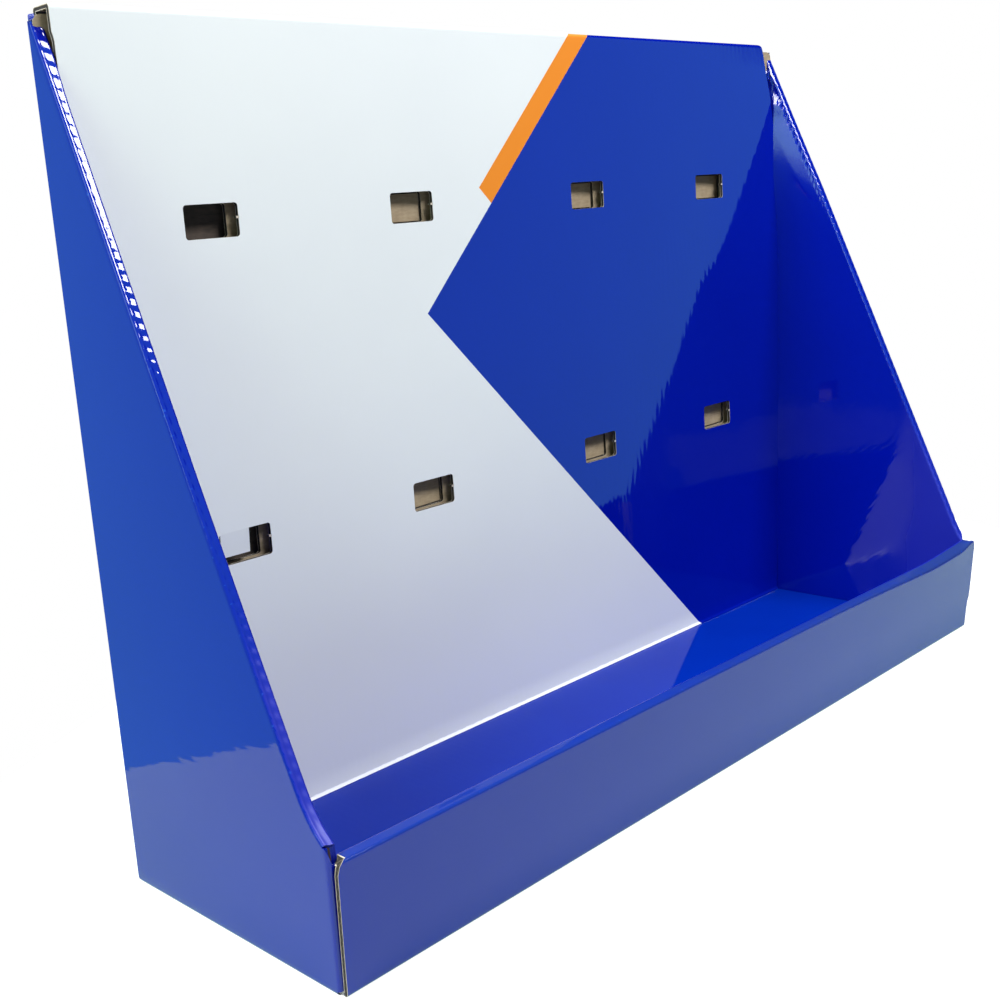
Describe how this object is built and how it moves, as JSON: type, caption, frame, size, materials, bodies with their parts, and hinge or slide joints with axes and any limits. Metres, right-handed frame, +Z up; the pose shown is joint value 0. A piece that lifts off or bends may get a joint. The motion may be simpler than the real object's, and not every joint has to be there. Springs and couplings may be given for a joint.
{
  "type": "display box",
  "caption": "Counter display tray of printed corrugated board with slanted double side walls, a low front wall and an upright panel with hook holes.",
  "frame": {"origin": "centre of the bounding box on the surface that the display stands on", "axes": "+X to the right along the width, -Y towards the customer in front, +Z up"},
  "size_m": [0.4, 0.1142, 0.2898],
  "materials": {
    "blue_board": "blue litho print under gloss film outside, plain kraft inside",
    "panel_board": "white, blue and orange litho print under gloss film in front, plain kraft behind"
  },
  "bodies": {
    "root": {"display_tray": "blue_board", "hook_panel": "panel_board"}
  },
  "joints": []
}
